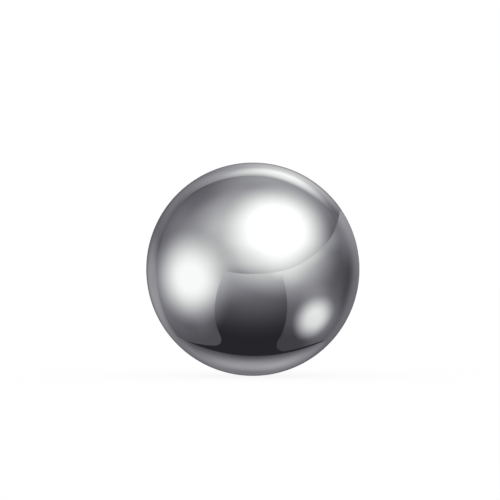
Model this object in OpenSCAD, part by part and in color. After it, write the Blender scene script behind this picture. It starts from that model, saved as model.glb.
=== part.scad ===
// Steel ball, 1 inch in diameter: one solid sphere, ground and lapped to a mirror all over.
// The origin is the centre of the ball and +Z is up.

/* [Ball] */
// Diameter of the ball
ball_d = 25.4; // [1:0.1:100]

/* [Hidden] */

// Facets round the equator where the ball is drawn as a mesh
$fn = 180;

// The ball has no flat, seam or hole: every section through its centre is the same circle.
module ball() {
    color("silver")
        sphere(d = ball_d);
}

ball();
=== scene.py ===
"""Looks of the one-inch steel ball: a mirror-polished sphere in a white studio.

Everything is in metres, in the frame of the CAD model: the origin is the centre of the ball, +Z is up,
and the photograph is taken from -Y, level with the centre.

A polished ball has no colour pattern of its own: what shows on it is the studio. So the photograph's
ball is matched by hanging a tent and cards around a plain mirror of steel. They glow with painted light
and painted shade that only the ball's reflections show, so they are painted reflections. They are
placed by the directions in which the ball sees them, so they stay where they are when the camera moves.
"""

import math
from collections import namedtuple

import bmesh
import bpy
from mathutils import Matrix, Quaternion, Vector


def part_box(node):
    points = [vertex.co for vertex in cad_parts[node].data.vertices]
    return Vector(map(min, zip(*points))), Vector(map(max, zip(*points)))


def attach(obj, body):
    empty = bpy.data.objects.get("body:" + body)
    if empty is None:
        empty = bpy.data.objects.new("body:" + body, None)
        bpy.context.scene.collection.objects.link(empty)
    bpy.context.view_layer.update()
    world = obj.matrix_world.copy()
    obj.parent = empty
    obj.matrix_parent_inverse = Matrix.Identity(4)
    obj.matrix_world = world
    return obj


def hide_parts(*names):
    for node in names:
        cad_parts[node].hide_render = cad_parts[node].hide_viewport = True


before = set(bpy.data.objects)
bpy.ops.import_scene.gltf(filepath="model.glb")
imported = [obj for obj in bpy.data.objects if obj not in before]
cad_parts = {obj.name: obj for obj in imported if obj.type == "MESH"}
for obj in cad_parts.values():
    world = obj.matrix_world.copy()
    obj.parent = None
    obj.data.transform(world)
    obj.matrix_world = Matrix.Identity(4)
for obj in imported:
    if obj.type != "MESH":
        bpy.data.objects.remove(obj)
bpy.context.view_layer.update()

# --- Ball, from the frame ------------------------------------------------------------------------
BALL_CENTRE = Vector((0, 0, 0))
BALL_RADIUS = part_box("ball")[1].z
PATCH_QUADS = 64  # along each side of the six patches that make up the ball's surface
UV_EDGE = 0.01  # empty border of each patch's cell in the UV map

# --- Steel ---------------------------------------------------------------------------------------
STEEL = (0.62, 0.625, 0.63)  # reflects a little over six tenths of the light
NOISE_SPAN = (0.3, 0.7)  # Blender's noise seldom leaves this range
TONE_SCALE = 90  # drifts of tone some 10 mm long, by a hundredth up and down
TONE_RANGE = (0.99, 1.01)
HAZE_SCALE = 350  # haze from lapping, in clouds of 3 mm, as roughness
HAZE_RANGE = (0.03, 0.05)
GRAIN_SCALE = 9000  # its grain of a tenth of a millimetre, on top of the haze
GRAIN_RANGE = (-0.006, 0.006)
WAVE_SCALE = 900  # waves about a millimetre long
WAVE_HEIGHT = 1e-7  # of the noise's full height; most waves are some tens of nanometres high

# --- Camera --------------------------------------------------------------------------------------
IMAGE_PX = 500
BALL_X_PX = 252.85  # the ball's centre in the photograph, from the left and from the top
BALL_Y_PX = 269.2
BALL_RADIUS_PX = 106.65
LENS_MM = 200.0
SENSOR_MM = 36.0
CLIP_NEAR = 0.01
CLIP_FAR = 10.0

# --- Studio --------------------------------------------------------------------------------------
TENT_RADIUS = 4.0  # the tent's wall is so far off that the whole ball sees it in the same directions
WALL_SUBDIVISIONS = 5
LAYER_GAP = 0.05  # each card hangs this much nearer than the one behind it
CARD_RINGS = 24  # from a card's middle to its rim
ARC_STEPS = 24  # points along each arc of an outline
WHITE = (1, 1, 1, 1)
SURROUND_STRENGTH = 1.0
FLOOR_SIZE = 4.0
FLOOR_ROUGHNESS = 0.9
FLOOR_GLOW = 0.9  # share of the floor that is plain white to the eye; the rest takes the shadow

# The painted glow is a faint violet where it is painted shade and white where it is painted light: how
# violet it is, from 1 to 0, at these strengths.
PAINTED_SHADE_TINT = (1.03, 0.99, 1.27)
PAINTED_LIGHT_TINT = (0.992, 1.0, 0.995)
VIOLET_FADE = ((0.0, 1.0), (0.05, 0.6), (0.15, 0.45), (0.5, 0.2), (0.8, 0.0))

# A soft-edged patch of painted light on a card's glow. Its middle and its half width and half height
# are in degrees as the ball sees them. A positive turn lifts the end that has the greater azimuth.
# Inside `core` of its size it is even.
Spot = namedtuple("Spot", "azimuth elevation width height turn core strength")


# --- Nodes ---------------------------------------------------------------------------------------
def new_material(name):
    """A node material with nothing in its tree but the output."""
    material = bpy.data.materials.new(name)
    material.use_nodes = True
    tree = material.node_tree
    tree.nodes.clear()
    output = tree.nodes.new("ShaderNodeOutputMaterial")
    return material, tree, output


def add_node(tree, kind, **settings):
    """A node of that kind with these properties set."""
    node = tree.nodes.new(kind)
    for name, value in settings.items():
        setattr(node, name, value)
    return node


def noise(tree, place, scale, detail):
    """Smooth noise with about `scale` blobs to the metre, as a socket around 0.5."""
    node = add_node(tree, "ShaderNodeTexNoise")
    node.inputs["Scale"].default_value = scale
    node.inputs["Detail"].default_value = detail
    tree.links.new(place, node.inputs["Vector"])
    return node.outputs["Fac"]


def remap(tree, value, span, into, shape="LINEAR"):
    """The value stretched from one span to another. It never goes past the second span's ends."""
    node = add_node(tree, "ShaderNodeMapRange", interpolation_type=shape)
    node.inputs["From Min"].default_value = span[0]
    node.inputs["From Max"].default_value = span[1]
    node.inputs["To Min"].default_value = into[0]
    node.inputs["To Max"].default_value = into[1]
    tree.links.new(value, node.inputs["Value"])
    return node.outputs["Result"]


def add_values(tree, first, second):
    """The sum of two sockets."""
    node = add_node(tree, "ShaderNodeMath", operation="ADD")
    tree.links.new(first, node.inputs[0])
    tree.links.new(second, node.inputs[1])
    return node.outputs["Value"]


# --- The ball ------------------------------------------------------------------------------------
def cube_to_sphere(corner):
    """Moves a point of the cube from -1 to 1 onto the unit sphere, so that the quads stay much the
    same size."""
    return Vector(math.tan(side * math.pi / 4) for side in corner).normalized()


def patch_uv(corner, normal):
    """Where a point on one side of that cube goes in the UV map, whose cells are 3 across and 2 up."""
    axis = max(range(3), key=lambda i: abs(normal[i]))
    across, along = [corner[i] for i in range(3) if i != axis]
    row = 0 if normal[axis] > 0 else 1
    inner = 1 - 2 * UV_EDGE
    u = (axis + UV_EDGE + inner * (across + 1) / 2) / 3
    v = (row + UV_EDGE + inner * (along + 1) / 2) / 2
    return u, v


def make_ball():
    """The ball as a sphere of even quads, with exact radial normals and a UV map without poles."""
    bm = bmesh.new()
    bmesh.ops.create_cube(bm, size=2)
    bmesh.ops.subdivide_edges(bm, edges=bm.edges[:], cuts=PATCH_QUADS - 1, use_grid_fill=True)
    bm.normal_update()
    uv = bm.loops.layers.uv.new("OFBake")
    for face in bm.faces:
        for loop in face.loops:
            loop[uv].uv = patch_uv(loop.vert.co, face.normal)
        face.smooth = True
    for vert in bm.verts:
        vert.co = BALL_CENTRE + cube_to_sphere(vert.co) * BALL_RADIUS
    mesh = bpy.data.meshes.new("steel_ball")
    bm.to_mesh(mesh)
    bm.free()
    radial = [(vert.co - BALL_CENTRE).normalized() for vert in mesh.vertices]
    mesh.normals_split_custom_set_from_vertices(radial)
    ball = bpy.data.objects.new("steel_ball", mesh)
    bpy.context.collection.objects.link(ball)
    mesh.materials.append(polished_steel())
    return ball


def polished_steel():
    """Ground and lapped steel: a clean mirror with a breath of haze and the faintest waviness."""
    material, tree, output = new_material("polished_steel")
    steel = add_node(tree, "ShaderNodeBsdfPrincipled")
    steel.inputs["Metallic"].default_value = 1.0
    place = add_node(tree, "ShaderNodeTexCoord").outputs["Object"]

    tone = remap(tree, noise(tree, place, TONE_SCALE, detail=2), NOISE_SPAN, TONE_RANGE)
    colour = add_node(tree, "ShaderNodeVectorMath", operation="SCALE")
    colour.inputs[0].default_value = STEEL
    tree.links.new(tone, colour.inputs["Scale"])
    tree.links.new(colour.outputs["Vector"], steel.inputs["Base Color"])

    clouds = remap(tree, noise(tree, place, HAZE_SCALE, detail=3), NOISE_SPAN, HAZE_RANGE)
    grain = remap(tree, noise(tree, place, GRAIN_SCALE, detail=2), NOISE_SPAN, GRAIN_RANGE)
    tree.links.new(add_values(tree, clouds, grain), steel.inputs["Roughness"])

    bump = add_node(tree, "ShaderNodeBump")
    bump.inputs["Strength"].default_value = 1.0
    bump.inputs["Distance"].default_value = WAVE_HEIGHT
    tree.links.new(noise(tree, place, WAVE_SCALE, detail=1), bump.inputs["Height"])
    tree.links.new(bump.outputs["Normal"], steel.inputs["Normal"])

    tree.links.new(steel.outputs["BSDF"], output.inputs["Surface"])
    return material


# --- Directions, as the ball sees them -----------------------------------------------------------
def direction(azimuth, elevation):
    """Unit vector in degrees: azimuth 0 is towards the camera and 90 to the camera's right."""
    a = math.radians(azimuth)
    e = math.radians(elevation)
    return Vector((math.sin(a) * math.cos(e), -math.cos(a) * math.cos(e), math.sin(e)))


def facing(azimuth, elevation, turn):
    """Rotation that takes Z to that direction, and X to the level line across it before the turn."""
    outward = direction(azimuth, elevation)
    level = direction(azimuth + 90, 0)
    upright = Matrix((level, outward.cross(level), outward)).transposed()
    return upright @ Matrix.Rotation(math.radians(turn), 3, "Z")


def chord(angle):
    """Straight distance between two unit vectors this many degrees apart."""
    return 2 * math.sin(math.radians(angle) / 2)


def arc(start, through, end):
    """Directions along the circle through these three, from the first up to the last."""
    first, middle, last = (direction(*point) for point in (start, through, end))
    axis = (middle - first).cross(last - first).normalized()
    hub = axis * axis.dot(first)
    spoke = first - hub
    sweep = math.atan2(axis.dot(spoke.cross(last - hub)), spoke.dot(last - hub)) % math.tau
    return [hub + Quaternion(axis, sweep * i / ARC_STEPS) @ spoke for i in range(ARC_STEPS)]


def outline(*points):
    """A closed line of arcs. Every other point is a corner, and the arc between two corners goes
    through the point between them."""
    line = []
    for i in range(0, len(points), 2):
        line += arc(points[i], points[i + 1], points[(i + 2) % len(points)])
    return line


# --- The light tent, glowing with painted light and shade ----------------------------------------
def painted_reflection(name, shade, spots):
    """A glow that paints the reflections the ball shows: an even painted shade plus soft spots of
    painted light, all by direction.
    """
    material, tree, output = new_material(name)
    place = add_node(tree, "ShaderNodeTexCoord").outputs["Object"]
    towards = add_node(tree, "ShaderNodeVectorMath", operation="NORMALIZE")
    tree.links.new(place, towards.inputs[0])
    light = painted_light_spot(tree, towards.outputs["Vector"], spots[0], shade)
    for spot in spots[1:]:
        light = add_values(tree, light, painted_light_spot(tree, towards.outputs["Vector"], spot))
    glow = add_node(tree, "ShaderNodeEmission")
    tree.links.new(light, glow.inputs["Strength"])
    tree.links.new(painted_reflection_tint(tree, light), glow.inputs["Color"])
    tree.links.new(glow.outputs["Emission"], output.inputs["Surface"])
    material.cycles.emission_sampling = "NONE"
    return material


def painted_reflection_tint(tree, light):
    """The glow's colour at that strength, from violet in painted shade to white in painted light."""
    violet = add_node(tree, "ShaderNodeValToRGB")
    stops = violet.color_ramp.elements
    while len(stops) < len(VIOLET_FADE):
        stops.new(1.0)
    for stop, (strength, share) in zip(stops, VIOLET_FADE):
        stop.position = strength
        stop.color = (share, share, share, 1)
    tree.links.new(light, violet.inputs["Fac"])
    mix = add_node(tree, "ShaderNodeMix", data_type="RGBA")
    mix.inputs["A"].default_value = (*PAINTED_LIGHT_TINT, 1)
    mix.inputs["B"].default_value = (*PAINTED_SHADE_TINT, 1)
    tree.links.new(violet.outputs["Color"], mix.inputs["Factor"])
    return mix.outputs["Result"]


def painted_light_spot(tree, towards, spot, shade=0.0):
    """The strength of the spot of painted light in that direction, on top of the painted shade: full in
    its core and nothing at its half widths."""
    spot_frame = add_node(tree, "ShaderNodeMapping", vector_type="TEXTURE")
    depth = max(spot.width, spot.height)
    sides = (chord(spot.width), chord(spot.height), chord(depth))
    turned = facing(spot.azimuth, spot.elevation, spot.turn)
    spot_frame.inputs["Location"].default_value = direction(spot.azimuth, spot.elevation)
    spot_frame.inputs["Rotation"].default_value = turned.to_euler()
    spot_frame.inputs["Scale"].default_value = sides
    tree.links.new(towards, spot_frame.inputs["Vector"])
    away = add_node(tree, "ShaderNodeVectorMath", operation="LENGTH")
    tree.links.new(spot_frame.outputs["Vector"], away.inputs[0])
    bright = shade + spot.strength
    return remap(tree, away.outputs["Value"], (spot.core, 1), (bright, shade), "SMOOTHSTEP")


def hang(name, bm, shade, spots):
    """Hangs a card in the tent. Its glow is a painted reflection, there only to be mirrored: the camera
    and the floor don't see it.
    """
    mesh = bpy.data.meshes.new(name)
    bm.to_mesh(mesh)
    bm.free()
    card = bpy.data.objects.new(name, mesh)
    card.location = BALL_CENTRE
    bpy.context.collection.objects.link(card)
    mesh.materials.append(painted_reflection(name, shade, spots))
    card.visible_camera = False
    card.visible_diffuse = False
    card.visible_shadow = False


def hang_card(name, layer, middle, rim, shade, spots):
    """A card bent to the tent's wall, from its middle out to its rim."""
    distance = TENT_RADIUS - LAYER_GAP * layer
    centre = direction(*middle)
    bm = bmesh.new()
    inner = [bm.verts.new(centre * distance)] * len(rim)
    for ring in range(1, CARD_RINGS + 1):
        outer = [bm.verts.new(centre.slerp(edge, ring / CARD_RINGS) * distance) for edge in rim]
        for i in range(len(rim)):
            corners = [inner[i - 1], outer[i - 1], outer[i], inner[i]]
            bm.faces.new(list(dict.fromkeys(corners)))
        inner = outer
    hang(name, bm, shade, spots)


def hang_wall():
    """The tent's wall, all round, glowing with painted light and painted shade for the ball to mirror.
    It shows where no card hangs before it.
    """
    bm = bmesh.new()
    bmesh.ops.create_icosphere(bm, subdivisions=WALL_SUBDIVISIONS, radius=TENT_RADIUS)
    hang("tent_wall", bm, shade=0.1, spots=[
        # A painted band of light high up behind the ball
        Spot(160, 46, 32, 17, 26, 0.2, 0.75),
        Spot(164, 30, 23, 32, 34, 0.0, 0.7),
        Spot(135, 22, 14, 14, 0, 0.0, 0.1),
        Spot(-170, 49, 36, 26, 0, 0.0, 0.45),
        Spot(-170, 28, 30, 26, 0, 0.0, 0.19),
        # Painted light low down behind the ball
        Spot(180, -52, 32, 22, 0, 0.1, 0.38),
        Spot(180, -25, 72, 20, 0, 0.0, 0.14),
        Spot(-160, -37, 20, 20, 0, 0.0, 0.18),
        Spot(160, -38, 22, 20, 0, 0.0, 0.25),
        # Painted light behind the ball on the left
        Spot(-140, -6, 38, 21, 0, 0.2, 0.31),
        Spot(-142, 20, 28, 25, 0, 0.0, 0.12),
    ])


def hang_painted_shade_ground():
    """A dark card of painted shade, mirrored below the ball in place of the floor. It shows between the
    canopy and the card on the right.
    """
    ground = outline(
        (-148, -26), (-178, -73), (152, -25), (110, -22), (60, 5), (0, 25), (-60, 5), (-105, -22),
    )
    hang_card("painted_shade_ground", layer=1, middle=(5, -5), rim=ground, shade=0.03, spots=[
        # Painted light that falls in under the canopy, fading towards the far edge
        Spot(25, 15, 60, 48, 0, 0.0, 1.0),
        Spot(30, -2, 16, 12, 0, 0.0, 0.25),
        Spot(-45, 10, 80, 50, 0, 0.0, 0.55),
        Spot(0, 0, 110, 73, 0, 0.0, 0.29),
        Spot(-75, -10, 55, 50, 0, 0.0, 0.8),
    ])


def hang_canopy():
    """The canopy, from straight ahead over the top to the back and down on the left, glowing with
    painted light and painted shade.
    """
    canopy = outline(
        (30, -2), (0, -5), (-30, -2), (-46, -31), (-80, -63), (-98, -66), (-120, -60), (-131, -47),
        (-148, -26), (-127, 0), (-143, 37), (180, 60), (133, 32), (128, 20), (120, 10), (80, 0),
    )
    hang_card("canopy", layer=2, middle=(-45, 25), rim=canopy, shade=0.12, spots=[
        # A painted highlight for the main lamp, above the camera's right
        Spot(34, 40, 70, 56, 22, 0.3, 1.65),
        # A painted highlight for the lamp on the left
        Spot(-71, -8, 61, 43, 0, 0.2, 1.4),
        Spot(-125, -10, 30, 32, 0, 0.0, 0.2),
        Spot(-85, -48, 36, 12, 0, 0.0, 0.06),
        Spot(-118, -36, 20, 12, 0, 0.0, 0.04),
        # Painted light between the lamps, overhead and round to the back
        Spot(28, 0, 60, 20, 0, 0.0, 0.23),
        Spot(-12, 4, 30, 18, 0, 0.0, 0.2),
        Spot(-26, 15, 34, 28, 0, 0.0, 0.22),
        Spot(-47, 38, 55, 42, 0, 0.0, 0.49),
        Spot(-42, 40, 28, 28, 0, 0.0, 0.12),
        Spot(-47, 72, 45, 37, 0, 0.0, 0.42),
        Spot(130, 67, 50, 48, 0, 0.0, 0.31),
        Spot(178, 63, 46, 22, 0, 0.0, 0.15),
        Spot(122, 39, 34, 26, 0, 0.0, 0.16),
        Spot(-105, 28, 46, 38, 0, 0.0, 0.16),
    ])


def hang_right_card():
    """The card on the right, under the edge of the canopy, glowing with painted light and painted
    shade.
    """
    right = outline(
        (30, -2), (42, -32), (76, -67), (105, -72), (134, -62), (136, -45), (152, -25),
        (170, -10), (178, 0), (143, 20), (114, 23), (87, 18), (64, 10), (47, 3),
    )
    hang_card("right_card", layer=3, middle=(75, -20), rim=right, shade=0.08, spots=[
        # A painted highlight for a small lamp low on the right, with its glow
        Spot(94, -38.5, 30, 20, 4, 0.2, 0.99),
        Spot(95, -27, 44, 32, 0, 0.0, 0.16),
        Spot(80, -26, 26, 18, 0, 0.0, 0.13),
        Spot(124, -33, 22, 20, 0, 0.0, 0.16),
        # Painted light from the front, and from the back
        Spot(35, 27, 77, 75, 0, 0.0, 1.4),
        Spot(35, -3, 30, 20, 0, 0.0, 0.2),
        Spot(60, -42, 40, 26, 0, 0.0, 0.08),
        Spot(70, 11, 38, 9, 20, 0.0, 0.14),
        Spot(104, 22, 24, 12, 0, 0.0, 0.2),
        Spot(104, 10, 36, 24, 0, 0.0, 0.07),
        Spot(150, 22, 50, 25, 0, 0.0, 0.34),
        Spot(170, 8, 20, 16, 0, 0.0, 0.12),
        Spot(152, -8, 28, 42, 0, 0.2, 0.13),
    ])


def hang_tent():
    """All that the photograph's ball mirrors: cards glowing with painted light and painted shade, from
    the furthest to the nearest.
    """
    hang_wall()
    hang_painted_shade_ground()
    hang_canopy()
    hang_right_card()


# --- Floor and background ------------------------------------------------------------------------
def white_floor():
    """Plain white. To the eye it is mostly a white glow, so that only a faint shadow is left on it."""
    material, tree, output = new_material("white_floor")
    paper = add_node(tree, "ShaderNodeBsdfPrincipled")
    paper.inputs["Base Color"].default_value = WHITE
    paper.inputs["Roughness"].default_value = FLOOR_ROUGHNESS
    paper.inputs["Specular IOR Level"].default_value = 0.0
    glow = add_node(tree, "ShaderNodeEmission")
    path = add_node(tree, "ShaderNodeLightPath").outputs
    seen = add_values(tree, path["Is Camera Ray"], path["Is Glossy Ray"])
    seen = add_values(tree, seen, path["Is Transmission Ray"])
    mix = add_node(tree, "ShaderNodeMixShader")
    tree.links.new(remap(tree, seen, (0, 1), (0, FLOOR_GLOW)), mix.inputs["Fac"])
    tree.links.new(paper.outputs["BSDF"], mix.inputs[1])
    tree.links.new(glow.outputs["Emission"], mix.inputs[2])
    tree.links.new(mix.outputs["Shader"], output.inputs["Surface"])
    return material


def lay_floor():
    """The floor just under the ball. The ball mirrors the tent instead, as in the photograph."""
    bm = bmesh.new()
    bmesh.ops.create_grid(bm, x_segments=1, y_segments=1, size=FLOOR_SIZE / 2)
    mesh = bpy.data.meshes.new("floor")
    bm.to_mesh(mesh)
    bm.free()
    floor = bpy.data.objects.new("floor", mesh)
    floor.location.z = -BALL_RADIUS
    bpy.context.collection.objects.link(floor)
    mesh.materials.append(white_floor())
    # Hidden from reflections, so the ball mirrors the ground card's painted shade in its place.
    floor.visible_glossy = False


def light_room():
    """A plain white surround, at the level where a colour renders as it is written."""
    world = bpy.data.worlds.new("white_surround")
    world.use_nodes = True
    background = world.node_tree.nodes["Background"]
    background.inputs["Color"].default_value = WHITE
    background.inputs["Strength"].default_value = SURROUND_STRENGTH
    bpy.context.scene.world = world
    bpy.context.scene.view_settings.view_transform = "Standard"


# --- Camera --------------------------------------------------------------------------------------
def place_camera():
    """A long lens, level with the ball's centre, aimed so that the ball falls where the photograph
    has it."""
    focal_px = LENS_MM / SENSOR_MM * IMAGE_PX
    distance = BALL_RADIUS / math.sin(math.atan(BALL_RADIUS_PX / focal_px))
    tilt_up = math.atan((BALL_Y_PX - IMAGE_PX / 2) / focal_px)
    turn_left = math.atan((BALL_X_PX - IMAGE_PX / 2) / focal_px)
    data = bpy.data.cameras.new("camera")
    data.lens = LENS_MM
    data.sensor_width = SENSOR_MM
    data.clip_start = CLIP_NEAR
    data.clip_end = CLIP_FAR
    camera = bpy.data.objects.new("camera", data)
    camera.location = BALL_CENTRE + Vector((0, -distance, 0))
    camera.rotation_euler = (math.pi / 2 + tilt_up, 0, turn_left)
    bpy.context.collection.objects.link(camera)
    bpy.context.scene.camera = camera


# --- Scene ---------------------------------------------------------------------------------------
place_camera()
light_room()
lay_floor()
hang_tent()

ball = make_ball()
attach(ball, "root")
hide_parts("ball")
